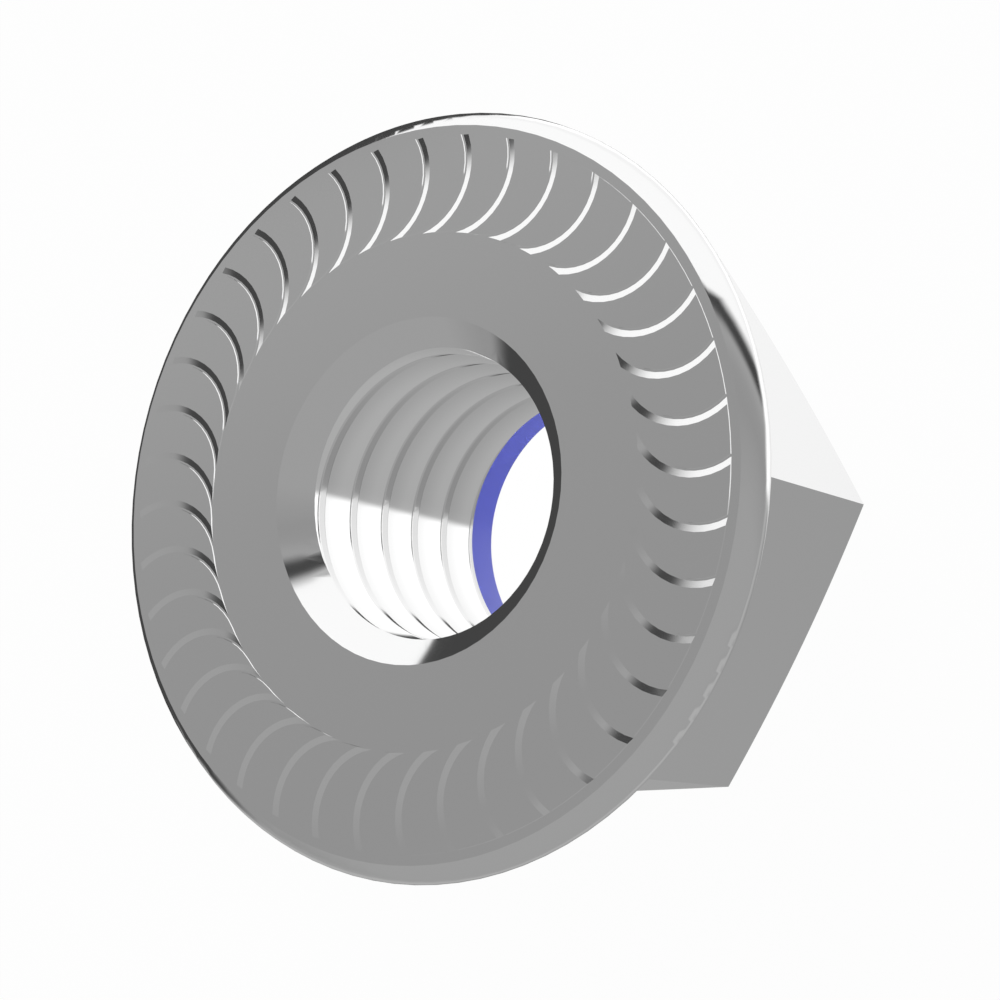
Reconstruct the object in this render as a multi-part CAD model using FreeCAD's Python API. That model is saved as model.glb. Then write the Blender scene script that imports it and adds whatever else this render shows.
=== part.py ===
import FreeCAD, Part
import math
import os

# Hex lock nut with a serrated flange and a nylon insert, M8 x 1.25.
# Millimetres. +Z up along the thread axis, the crimped collar rests on z = 0,
# the serrated bearing face is on top and one hex corner lies on +X.

# Thread
MAJOR_DIAMETER = 8.0
PITCH = 1.25

# Hexagon
ACROSS_FLATS = 13.0
HEX_END_ANGLE = 15.0        # slope of the cone that chamfers the hex end
HEX_CORNER_END_Z = 1.19     # height where the corners start

# Flange
FACE_Z = 8.88               # plane of the bearing face
FACE_RADIUS = 8.48          # where the flat face turns down into the rim
FLANGE_RADIUS = 8.90
RIM_DROP = 0.53             # from the face down to the widest circle
RIM_BULGE = 0.07            # how far the rim's curve stands out of its chord
RIM_EDGE_INSET = 0.04       # the broken edge below the widest circle
RIM_EDGE_DROP = 0.10
FLANGE_BACK_ANGLE = 25.0

# Collar that is crimped over the insert
COLLAR_RADIUS = 5.30
COLLAR_ROLL = 0.50          # radius of the rolled edge, made of short cones
COLLAR_ROLL_STEPS = 3
LIP_HOLE_RADIUS = 4.25
LIP_EDGE_CHAMFER = 0.18

# Nylon insert and its pocket
INSERT_BOTTOM_Z = 0.63
INSERT_THICKNESS = 1.08
INSERT_OUTER_RADIUS = 4.75
INSERT_INNER_RADIUS = 3.43
INSERT_EDGE_CHAMFER = 0.12

# Serrations: low teeth between curved grooves. A groove is steep on the side of its
# own centre, which holds the nut against loosening, and rises gently on the other.
TOOTH_COUNT = 40
TOOTH_INNER_RADIUS = 5.97
TOOTH_OUTER_RADIUS = 8.25
TOOTH_HEIGHT = 0.041
GROOVE_ARC_CENTRE = 7.55    # distance of the groove's own centre from the axis
GROOVE_STEEP_RADIUS = 1.58
GROOVE_FLOOR_WIDTH = 0.045
GROOVE_RAMP_WIDTH = 0.15
GROOVE_ARC_SWEEP = 116.0    # from the inward radial direction, past the outer circle
GROOVE_PHASE = 1.1          # angle of the first groove's centre from the hex corner

# Derived
MINOR_RADIUS = MAJOR_DIAMETER / 2.0 - 0.541266 * PITCH
COUNTERSINK_RADIUS = MAJOR_DIAMETER / 2.0
CORNER_RADIUS = ACROSS_FLATS / math.sqrt(3.0)
RIM_Z = FACE_Z - RIM_DROP
INSERT_TOP_Z = INSERT_BOTTOM_Z + INSERT_THICKNESS
GROOVE_PITCH_ANGLE = 360.0 / TOOTH_COUNT
AXIS = FreeCAD.Vector(0, 0, 1)
ORIGIN = FreeCAD.Vector(0, 0, 0)


def at(radius, height):
    """A point of a profile in the XZ plane."""
    return FreeCAD.Vector(radius, 0, height)


def line(start, end):
    return Part.LineSegment(start, end).toShape()


def arc(start, middle, end):
    return Part.Arc(start, middle, end).toShape()


def revolved(edges):
    """A closed profile turned once about the thread axis."""
    face = Part.Face(Part.Wire(edges))
    return face.revolve(ORIGIN, AXIS, 360)


def polygon(points):
    """Edges of a closed straight-sided profile."""
    return [line(points[i], points[(i + 1) % len(points)]) for i in range(len(points))]


def ring(inner, outer, bottom, top):
    corners = [at(inner, bottom), at(outer, bottom), at(outer, top), at(inner, top)]
    return revolved(polygon(corners))


def flange():
    """The disc with its curved rim and its sloping back, filled to the axis."""
    slope = math.tan(math.radians(FLANGE_BACK_ANGLE))
    start = at(FACE_RADIUS, FACE_Z)
    edge = at(FLANGE_RADIUS, RIM_Z)
    chord = edge - start
    outward = FreeCAD.Vector(-chord.z, 0, chord.x).normalize()
    bulge = (start + edge) * 0.5 + outward * RIM_BULGE
    back = at(FLANGE_RADIUS - RIM_EDGE_INSET, RIM_Z - RIM_EDGE_DROP)
    hub_radius = ACROSS_FLATS / 2.0 - 1.0
    hub = at(hub_radius, back.z - (back.x - hub_radius) * slope)
    edges = [
        line(at(0, hub.z), hub),
        line(hub, back),
        line(back, edge),
        arc(edge, bulge, start),
        line(start, at(0, FACE_Z)),
        line(at(0, FACE_Z), at(0, hub.z)),
    ]
    return revolved(edges)


def hexagon():
    """The spanner hexagon, chamfered at its end by a shallow cone."""
    slope = math.tan(math.radians(HEX_END_ANGLE))
    top = RIM_Z - RIM_EDGE_DROP
    corners = []
    for i in range(7):
        turn = math.radians(60.0 * i)
        corners.append(FreeCAD.Vector(
            CORNER_RADIUS * math.cos(turn), CORNER_RADIUS * math.sin(turn), 0))
    prism = Part.Face(Part.makePolygon(corners)).extrude(AXIS * top)
    collar_z = HEX_CORNER_END_Z - (CORNER_RADIUS - COLLAR_RADIUS) * slope
    wide = CORNER_RADIUS + 1.0
    wide_z = HEX_CORNER_END_Z + slope
    cone = revolved(polygon([
        at(0, collar_z), at(COLLAR_RADIUS, collar_z), at(wide, wide_z), at(wide, top), at(0, top)]))
    return prism.common(cone)


def collar():
    """The round end, rolled in at its rim to hold the insert, filled to the axis."""
    centre = at(COLLAR_RADIUS - COLLAR_ROLL, COLLAR_ROLL)
    points = [at(0, 0)]
    for i in range(COLLAR_ROLL_STEPS + 1):
        turn = math.radians(90.0 * i / COLLAR_ROLL_STEPS)
        points.append(centre + FreeCAD.Vector(
            COLLAR_ROLL * math.sin(turn), 0, -COLLAR_ROLL * math.cos(turn)))
    points.append(at(COLLAR_RADIUS, INSERT_TOP_Z))
    points.append(at(0, INSERT_TOP_Z))
    return revolved(polygon(points))


def bore():
    """The hole at the thread's minor diameter, with the countersink at the bearing face."""
    depth = COUNTERSINK_RADIUS - MINOR_RADIUS
    over = 1.0
    return revolved(polygon([
        at(0, INSERT_BOTTOM_Z), at(MINOR_RADIUS, INSERT_BOTTOM_Z), at(MINOR_RADIUS, FACE_Z - depth),
        at(COUNTERSINK_RADIUS + over, FACE_Z + over), at(0, FACE_Z + over)]))


def insert_pocket():
    """The room for the insert, and the hole in the lip below it with its edges broken."""
    edge = LIP_HOLE_RADIUS + LIP_EDGE_CHAMFER
    return revolved(polygon([
        at(0, 0),
        at(edge, 0),
        at(LIP_HOLE_RADIUS, LIP_EDGE_CHAMFER),
        at(LIP_HOLE_RADIUS, INSERT_BOTTOM_Z - LIP_EDGE_CHAMFER),
        at(edge, INSERT_BOTTOM_Z),
        at(INSERT_OUTER_RADIUS, INSERT_BOTTOM_Z),
        at(INSERT_OUTER_RADIUS, INSERT_TOP_Z),
        at(0, INSERT_TOP_Z),
    ]))


def groove():
    """One groove: its section turned about its own upright centre line."""
    ramp_radius = GROOVE_STEEP_RADIUS + GROOVE_FLOOR_WIDTH
    slope = TOOTH_HEIGHT / GROOVE_RAMP_WIDTH
    over = 0.1
    points = [
        at(-GROOVE_STEEP_RADIUS, FACE_Z),
        at(-ramp_radius, FACE_Z),
        at(-ramp_radius - (TOOTH_HEIGHT + over) / slope, FACE_Z + TOOTH_HEIGHT + over),
        at(-GROOVE_STEEP_RADIUS, FACE_Z + TOOTH_HEIGHT + over),
    ]
    section = Part.Face(Part.Wire(polygon(points)))
    cutter = section.revolve(ORIGIN, AXIS, GROOVE_ARC_SWEEP)
    cutter.translate(FreeCAD.Vector(GROOVE_ARC_CENTRE, 0, 0))
    cutter.rotate(ORIGIN, AXIS, GROOVE_PHASE)
    return cutter


def serrations():
    """The low ring on the bearing face, parted into teeth by the grooves."""
    band = ring(TOOTH_INNER_RADIUS, TOOTH_OUTER_RADIUS, FACE_Z - 0.2, FACE_Z + TOOTH_HEIGHT)
    cutter = groove()
    cutters = []
    for i in range(TOOTH_COUNT):
        copy = cutter.copy()
        copy.rotate(ORIGIN, AXIS, GROOVE_PITCH_ANGLE * i)
        cutters.append(copy)
    return band.cut(cutters)


def nut_body():
    """The steel nut: hexagon, flange and collar in one piece, bored and serrated."""
    blank = flange().fuse([hexagon(), collar()])
    bored = blank.cut(bore()).cut(insert_pocket())
    return bored.fuse(serrations()).removeSplitter()


def nylon_insert():
    """The nylon ring that grips the bolt, with its inner edges broken."""
    edge = INSERT_INNER_RADIUS + INSERT_EDGE_CHAMFER
    return revolved(polygon([
        at(edge, INSERT_BOTTOM_Z),
        at(INSERT_OUTER_RADIUS, INSERT_BOTTOM_Z),
        at(INSERT_OUTER_RADIUS, INSERT_TOP_Z),
        at(edge, INSERT_TOP_Z),
        at(INSERT_INNER_RADIUS, INSERT_TOP_Z - INSERT_EDGE_CHAMFER),
        at(INSERT_INNER_RADIUS, INSERT_BOTTOM_Z + INSERT_EDGE_CHAMFER),
    ]))


os.makedirs("parts", exist_ok=True)
for name, shape in (("nut_body", nut_body()), ("nylon_insert", nylon_insert())):
    solid = shape.Solids[0] if len(shape.Solids) == 1 else shape
    print(name, "solids", len(shape.Solids), "faces", len(shape.Faces),
          "valid", shape.isValid(), "volume", round(shape.Volume, 3))
    solid.exportStep("parts/" + name + ".step")
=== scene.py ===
import math

import bmesh
import bpy
from mathutils import Matrix, Vector


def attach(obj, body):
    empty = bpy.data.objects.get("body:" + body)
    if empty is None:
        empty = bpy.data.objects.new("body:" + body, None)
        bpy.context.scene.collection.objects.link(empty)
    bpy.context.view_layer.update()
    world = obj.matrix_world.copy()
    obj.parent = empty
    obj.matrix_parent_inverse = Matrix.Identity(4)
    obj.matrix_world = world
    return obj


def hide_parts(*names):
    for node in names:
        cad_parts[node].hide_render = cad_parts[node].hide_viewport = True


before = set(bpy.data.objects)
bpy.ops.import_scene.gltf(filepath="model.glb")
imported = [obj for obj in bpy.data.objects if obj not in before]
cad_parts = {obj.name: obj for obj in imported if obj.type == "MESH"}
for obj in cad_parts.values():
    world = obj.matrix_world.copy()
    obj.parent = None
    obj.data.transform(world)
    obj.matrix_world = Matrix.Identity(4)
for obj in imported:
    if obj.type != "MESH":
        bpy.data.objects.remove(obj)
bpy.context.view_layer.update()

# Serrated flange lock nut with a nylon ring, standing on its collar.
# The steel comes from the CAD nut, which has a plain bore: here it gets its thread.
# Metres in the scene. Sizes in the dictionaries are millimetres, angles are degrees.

mm = 0.001
mergeDistance = 0.002          # corners of the CAD mesh that are closer are one
scene = bpy.context.scene


def keepMesh(bm, name):
    bmesh.ops.recalc_face_normals(bm, faces=bm.faces)
    mesh = bpy.data.meshes.new(name)
    bm.to_mesh(mesh)
    bm.free()
    obj = bpy.data.objects.new(name, mesh)
    scene.collection.objects.link(obj)
    return obj


# Cuts the tool out of the target and keeps the result as the target's own mesh.
def takeAway(target, tool):
    modifier = target.modifiers.new("cut", "BOOLEAN")
    modifier.operation = "DIFFERENCE"
    modifier.solver = "EXACT"
    modifier.object = tool
    evaluated = target.evaluated_get(bpy.context.evaluated_depsgraph_get())
    mesh = bpy.data.meshes.new_from_object(evaluated)
    target.modifiers.clear()
    target.data = mesh
    bpy.data.objects.remove(tool)


def profileFace(bm, points):
    verts = [bm.verts.new((radius, 0, height)) for radius, height in points]
    return bm.faces.new(verts)


# The thread is shallow, as the photograph shows it: a narrow crest that leans back under
# its upper edge, and a wide round root that runs out to the next crest.
thread = {
    "pitch": 1.25,
    "edgeWidth": 0.03,         # the crest's upright edge
    "crestWidth": 0.31,        # a quarter of the pitch
    "crestDepth": 0.055,       # how far the crest leans back
    "stepDepth": 0.02,         # the step from the crest down into the root
    "stepRise": 0.032,
    "rootEnd": 0.012,          # depth of the root where it meets the next crest
    "innerReach": 0.3,         # the cutter starts this far inside the bore
    "from": 0.6,               # below the thread's end, inside the ring's pocket
    "turns": 7.0,
    "stepsPerTurn": 120,
    "rootSteps": 8,
}


def threadCutter(t):
    half = (t["pitch"] - t["edgeWidth"]) / 2
    inner = bore["radius"] - t["innerReach"]
    deepest = t["crestDepth"] + t["stepDepth"]
    rootTop = half + t["edgeWidth"] - t["crestWidth"] - t["stepRise"]
    outline = [(0, half), (t["crestDepth"], half + t["edgeWidth"] - t["crestWidth"])]
    for i in range(t["rootSteps"] + 1):
        down = i / t["rootSteps"]
        depth = deepest - (deepest - t["rootEnd"]) * down ** 2
        outline.append((depth, rootTop - (rootTop + half - t["edgeWidth"]) * down))
    outline = [(bore["radius"] + depth, height) for depth, height in outline + [(0, -half)]]
    outline += [(inner, -half), (inner, half)]
    bm = bmesh.new()
    face = profileFace(bm, [(radius, t["from"] + height) for radius, height in outline])
    bmesh.ops.spin(bm, geom=[face, *face.edges, *face.verts], axis=(0, 0, 1), cent=(0, 0, 0),
                   dvec=(0, 0, t["pitch"] / t["stepsPerTurn"]),
                   angle=math.radians(360 * t["turns"]), steps=int(t["turns"] * t["stepsPerTurn"]))
    return keepMesh(bm, "threadCutter")


# A finer cylinder takes the bore's facets away before the thread is cut.
bore = {
    "radius": 3.333,
    "from": 1.2,               # inside the ring's pocket
    "to": 10.0,                # past the bearing face
    "sides": 160,
}


def boreCore(b):
    bm = bmesh.new()
    height = b["to"] - b["from"]
    bmesh.ops.create_cone(bm, cap_ends=True, segments=b["sides"], radius1=b["radius"],
                          radius2=b["radius"], depth=height,
                          matrix=Matrix.Translation((0, 0, b["from"] + height / 2)))
    return keepMesh(bm, "boreCore")


# A merged copy of the CAD mesh in millimetres, so that the cuts are exact.
def copyOfNode(name):
    bm = bmesh.new()
    bm.from_mesh(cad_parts[name].data)
    bmesh.ops.remove_doubles(bm, verts=bm.verts, dist=mergeDistance * mm)
    bmesh.ops.scale(bm, vec=(1 / mm, 1 / mm, 1 / mm), verts=bm.verts)
    return bm


def threadedNut():
    nut = keepMesh(copyOfNode("nut_body"), "threadedNut")
    takeAway(nut, boreCore(bore))
    takeAway(nut, threadCutter(thread))
    nut.data.transform(Matrix.Scale(mm, 4))
    if "custom_normal" in nut.data.attributes:      # the CAD's normals don't fit the new faces
        nut.data.attributes.remove(nut.data.attributes["custom_normal"])
    return nut


# An edge sharper than its zone's angle is shaded sharp.
shading = {
    "teeth": {"inner": 5.90, "outer": 8.30, "above": 8.87, "sharpAngle": 14},
    "thread": {"outer": 3.45, "sharpAngle": 5},
    "rim": {"inner": 8.88, "sharpAngle": 60},          # the widest circle, shaded round
    "body": {"sharpAngle": 28},
}


def zoneOf(s, radius, height):
    if radius > s["rim"]["inner"]:
        return s["rim"]
    if radius < s["thread"]["outer"]:
        return s["thread"]
    teeth = s["teeth"]
    if height > teeth["above"] and teeth["inner"] < radius < teeth["outer"]:
        return teeth
    return s["body"]


def shadeNut(nut, s):
    nut.data.shade_smooth()
    bm = bmesh.new()
    bm.from_mesh(nut.data)
    for edge in bm.edges:
        if len(edge.link_faces) != 2:
            continue
        middle = (edge.verts[0].co + edge.verts[1].co) / 2 / mm
        zone = zoneOf(s, math.hypot(middle.x, middle.y), middle.z)
        edge.smooth = edge.calc_face_angle() < math.radians(zone["sharpAngle"])
    bm.to_mesh(nut.data)
    bm.free()


ring = {
    "outerRadius": 4.75,
    "innerRadius": 3.43,
    "bottom": 0.63,
    "top": 1.71,
    "edgeRound": 0.15,         # on both edges of its bore
    "edgeSegments": 5,
    "sides": 128,
    "sharpAngle": 40,
}


def nylonRing(r):
    bm = bmesh.new()
    face = profileFace(bm, [
        (r["innerRadius"] * mm, r["bottom"] * mm),
        (r["outerRadius"] * mm, r["bottom"] * mm),
        (r["outerRadius"] * mm, r["top"] * mm),
        (r["innerRadius"] * mm, r["top"] * mm),
    ])
    boreCorners = [face.verts[0], face.verts[3]]
    bmesh.ops.bevel(bm, geom=boreCorners, affect="VERTICES", offset=r["edgeRound"] * mm,
                    segments=r["edgeSegments"], profile=0.5, material=-1)
    outline = list(bm.edges)
    bmesh.ops.delete(bm, geom=list(bm.faces), context="FACES_ONLY")
    bmesh.ops.spin(bm, geom=outline + list(bm.verts), axis=(0, 0, 1), cent=(0, 0, 0),
                   angle=2 * math.pi, steps=r["sides"], use_merge=True)
    obj = keepMesh(bm, "nylonRing")
    obj.data.shade_smooth()
    obj.data.set_sharp_from_angle(angle=math.radians(r["sharpAngle"]))
    return obj


# An sRGB hex colour as linear values.
def linear(hexColour):
    parts = [int(hexColour[i:i + 2], 16) / 255 for i in (1, 3, 5)]
    return [p / 12.92 if p <= 0.04045 else ((p + 0.055) / 1.055) ** 2.4 for p in parts] + [1]


def newMaterial(name):
    material = bpy.data.materials.new(name)
    material.use_nodes = True
    return material, material.node_tree.nodes["Principled BSDF"]


def addNode(tree, kind, settings=None, inputs=None):
    node = tree.nodes.new(kind)
    for key, value in (settings or {}).items():
        setattr(node, key, value)
    for key, value in (inputs or {}).items():
        if isinstance(value, bpy.types.NodeSocket):
            tree.links.new(value, node.inputs[key])
        else:
            node.inputs[key].default_value = value
    return node


# Bright zinc plate on cold formed steel: smooth, so it mirrors the studio nearly sharp.
steel = {
    "colour": "#f0f0f0",
    "roughness": 0.1,
}


def zincSteel(s):
    material, shader = newMaterial("brightZincPlatedSteel")
    shader.inputs["Base Color"].default_value = linear(s["colour"])
    shader.inputs["Metallic"].default_value = 1
    shader.inputs["Roughness"].default_value = s["roughness"]
    return material


# Nylon dyed blue and moulded: satin, with a soft highlight and its full colour.
nylon = {
    "colour": "#6e76e0",
    "roughness": 0.35,
}


def blueNylon(n):
    material, shader = newMaterial("mouldedBlueNylon")
    shader.inputs["Base Color"].default_value = linear(n["colour"])
    shader.inputs["Roughness"].default_value = n["roughness"]
    return material


# The tone of the studio by direction: grey on the viewer's side, then white. Above the
# horizon a dark strip parts the two. Below the horizon the floor hides the sky, and the tones
# there are shown only by the floor to mirror rays, as a painted reflection. Each pair is the
# direction's share along an axis and the tone there, as linear light.
studio = {
    "axis": (-0.258, 0.887, -0.383),    # towards the white side, for the tones above
    "strength": 1.1,
    "above": ((-0.45, 0.345), (-0.12, 0.292), (0, 0.305), (0.12, 0.365), (0.185, 0.05),
              (0.275, 0.045), (0.39, 1.0)),
    # Painted shade and light in the floor's reflection: grey on the -Y side, white on the +Y side, lighter
    # and darker by steepness.
    "below": ((-0.9, 0.345), (-0.1, 0.33), (0.01, 0.345), (0.06, 0.94)),    # along Y
    "ground": ((-1, 0.76), (-0.95, 0.84), (-0.88, 0.98), (-0.82, 1),        # along Z, times below
               (-0.66, 1.25), (-0.5, 1.25), (-0.4, 1)),
    "horizon": (-0.3, -0.15),           # heights between which the two blend
    # In the sky a dark patch is part of the studio's light. Below the horizon the floor shows it to mirror
    # rays as a painted dark reflection.
    "darkPatches": (                          # dark patches: direction, where it starts and ends, degrees
        ((-0.875, -0.004, 0.475), 10, 18),
        ((-0.803, 0.4215, -0.4215), 28, 31),
        ((-0.975, -0.02, -0.221), 13, 23),
        ((-0.46, 0.19, -0.867), 9, 13),
    ),
    "darkPatchTone": 0.055,
}


# A share runs from -1 to 1 and a ramp from 0 to 1.
def fillRamp(node, stops):
    elements = node.color_ramp.elements
    while len(elements) < len(stops):
        elements.new(0.5)
    for element, (share, tone) in zip(elements, stops):
        element.position = share / 2 + 0.5
        element.color = (tone, tone, tone, 1)


def studioTone(s):
    tree = bpy.data.node_groups.new("studioTone", "ShaderNodeTree")
    tree.interface.new_socket(name="Direction", in_out="INPUT", socket_type="NodeSocketVector")
    tree.interface.new_socket(name="Tone", in_out="OUTPUT", socket_type="NodeSocketColor")
    direction = addNode(tree, "NodeGroupInput").outputs["Direction"]
    shares = {}
    tones = {}
    for part, axis in (("above", s["axis"]), ("below", (0, 1, 0)), ("ground", (0, 0, 1))):
        along = addNode(tree, "ShaderNodeVectorMath", {"operation": "DOT_PRODUCT"},
                        {0: direction, 1: axis})
        shares[part] = along.outputs["Value"]
        place = addNode(tree, "ShaderNodeMath", {"operation": "MULTIPLY_ADD"},
                        {0: shares[part], 1: 0.5, 2: 0.5})
        ramp = addNode(tree, "ShaderNodeValToRGB", inputs={"Fac": place.outputs[0]})
        fillRamp(ramp, s[part])
        tones[part] = ramp.outputs["Color"]
    shaded = addNode(tree, "ShaderNodeVectorMath", {"operation": "MULTIPLY"},
                     {0: tones["below"], 1: tones["ground"]})
    low, high = s["horizon"]
    blend = addNode(tree, "ShaderNodeMapRange", {"interpolation_type": "SMOOTHSTEP"},
                    {"Value": shares["ground"], "From Min": low, "From Max": high})
    sky = addNode(tree, "ShaderNodeMix", {"data_type": "RGBA"},
                  {0: blend.outputs[0], 6: shaded.outputs[0], 7: tones["above"]})
    covered = 0
    for axis, inner, outer in s["darkPatches"]:
        near = addNode(tree, "ShaderNodeVectorMath", {"operation": "DOT_PRODUCT"},
                       {0: direction, 1: axis})
        cover = addNode(tree, "ShaderNodeMapRange", {"interpolation_type": "SMOOTHSTEP"},
                        {"Value": near.outputs["Value"], "From Min": math.cos(math.radians(outer)),
                         "From Max": math.cos(math.radians(inner))})
        most = addNode(tree, "ShaderNodeMath", {"operation": "MAXIMUM"}, {0: cover.outputs[0], 1: covered})
        covered = most.outputs[0]
    patched = addNode(tree, "ShaderNodeMix", {"data_type": "RGBA"},
                      {0: covered, 6: sky.outputs[2], 7: [s["darkPatchTone"]] * 3 + [1]})
    addNode(tree, "NodeGroupOutput", inputs={"Tone": patched.outputs[2]})
    return tree


def studioWorld(s, group):
    world = bpy.data.worlds.new("studio")
    scene.world = world
    world.use_nodes = True
    tree = world.node_tree
    background = tree.nodes["Background"]
    background.inputs["Strength"].default_value = s["strength"]
    direction = addNode(tree, "ShaderNodeTexCoord").outputs["Generated"]
    tone = addNode(tree, "ShaderNodeGroup", {"node_tree": group}, {"Direction": direction})
    tree.links.new(tone.outputs["Tone"], background.inputs["Color"])


# White to the camera, with the object's shadow. To mirror rays the floor glows in the studio's tones
# instead: a painted reflection, with painted shade on its -Y side and painted dark patches, which the
# metal mirrors.
floor = {
    "size": 4000,
    "colour": "#ffffff",
    "roughness": 0.9,
    "cameraWhite": 0.97,       # the share of plain white that the camera sees
    "underBore": 4.6,          # radius in which the camera sees white alone
}


def paleFloor(f, s, group):
    bm = bmesh.new()
    bmesh.ops.create_grid(bm, x_segments=1, y_segments=1, size=f["size"] * mm / 2)
    obj = keepMesh(bm, "floor")
    material, shader = newMaterial("palePaper")
    tree = material.node_tree
    shader.inputs["Base Color"].default_value = linear(f["colour"])
    shader.inputs["Roughness"].default_value = f["roughness"]
    shader.inputs["Specular IOR Level"].default_value = 0
    path = addNode(tree, "ShaderNodeLightPath")
    where = addNode(tree, "ShaderNodeTexCoord").outputs["Object"]
    length = addNode(tree, "ShaderNodeVectorMath", {"operation": "LENGTH"}, {0: where})
    under = addNode(tree, "ShaderNodeMath", {"operation": "LESS_THAN"},
                    {0: length.outputs["Value"], 1: f["underBore"] * mm})
    share = addNode(tree, "ShaderNodeMath", {"operation": "MAXIMUM"},
                    {0: under.outputs[0], 1: f["cameraWhite"]})
    seen = addNode(tree, "ShaderNodeMath", {"operation": "MAXIMUM"},
                   {0: path.outputs["Is Camera Ray"], 1: path.outputs["Is Transmission Ray"]})
    white = addNode(tree, "ShaderNodeMath", {"operation": "MULTIPLY"},
                    {0: seen.outputs[0], 1: share.outputs[0]})
    plain = addNode(tree, "ShaderNodeEmission")
    lit = addNode(tree, "ShaderNodeMixShader",
                  inputs={0: white.outputs[0], 1: shader.outputs[0], 2: plain.outputs[0]})
    incoming = addNode(tree, "ShaderNodeNewGeometry").outputs["Incoming"]
    away = addNode(tree, "ShaderNodeVectorMath", {"operation": "SCALE"}, {0: incoming, "Scale": -1})
    tone = addNode(tree, "ShaderNodeGroup", {"node_tree": group}, {"Direction": away.outputs[0]})
    # Painted reflection: for mirror rays the floor glows in the studio's tones, in place of its own lit
    # and shaded surface.
    paintedReflection = addNode(tree, "ShaderNodeEmission",
                       inputs={"Color": tone.outputs["Tone"], "Strength": s["strength"]})
    mix = addNode(tree, "ShaderNodeMixShader",
                  inputs={0: path.outputs["Is Glossy Ray"], 1: lit.outputs[0], 2: paintedReflection.outputs[0]})
    tree.links.new(mix.outputs[0], tree.nodes["Material Output"].inputs["Surface"])
    obj.data.materials.append(material)


# A large soft box behind the nut, and a small card in the bore that lights the ring.
lamps = [
    {"name": "keyBox", "place": (-60, 420, 240), "size": (420, 240), "radiance": 2.1},
    {"name": "ringCard", "place": (2.3, 1.7, 0.6), "size": (2.4, 0.8), "radiance": 19},
]


def softBox(s):
    data = bpy.data.lights.new(s["name"], "AREA")
    data.shape = "RECTANGLE"
    data.size = s["size"][0] * mm
    data.size_y = s["size"][1] * mm
    data.energy = s["radiance"] * math.pi * data.size * data.size_y     # a flat lamp's watts
    obj = bpy.data.objects.new(s["name"], data)
    scene.collection.objects.link(obj)
    place = Vector(s["place"]) * mm
    obj.location = place
    obj.rotation_euler = place.to_track_quat("Z", "Y").to_euler()
    obj.visible_camera = False
    obj.visible_glossy = False


view = {
    "place": (34.989, -10.055, 56.985),
    "forward": (-0.553715, 0.162872, -0.816622),
    "up": (0.092355, 0.986647, 0.134161),
    "focal": 95.44,
    "sensor": 36,              # width of the sensor
    "clip": (1, 5000),
}


def makeCamera(v):
    data = bpy.data.cameras.new("camera")
    data.sensor_width = v["sensor"]
    data.lens = v["focal"]
    data.clip_start, data.clip_end = [distance * mm for distance in v["clip"]]
    obj = bpy.data.objects.new("camera", data)
    scene.collection.objects.link(obj)
    back = -Vector(v["forward"]).normalized()
    right = Vector(v["up"]).cross(back).normalized()
    up = back.cross(right)
    turn = Matrix((right, up, back)).transposed().to_4x4()
    obj.matrix_world = Matrix.Translation(Vector(v["place"]) * mm) @ turn
    scene.camera = obj


def dress(obj, node, material):
    obj.visible_glossy = False          # the steel mirrors the studio alone, as in the photograph
    obj.data.materials.clear()
    obj.data.materials.append(material)
    for polygon in obj.data.polygons:
        polygon.material_index = 0
    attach(obj, "root")
    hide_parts(node)


nut = threadedNut()
shadeNut(nut, shading)
dress(nut, "nut_body", zincSteel(steel))
print("threaded nut:", len(nut.data.polygons), "faces")
insert = nylonRing(ring)
dress(insert, "nylon_insert", blueNylon(nylon))
print("nylon ring:", len(insert.data.polygons), "faces")
group = studioTone(studio)
studioWorld(studio, group)
paleFloor(floor, studio, group)
for lamp in lamps:
    softBox(lamp)
makeCamera(view)
print("studio, floor, lamps and camera")
scene.view_settings.view_transform = "Standard"
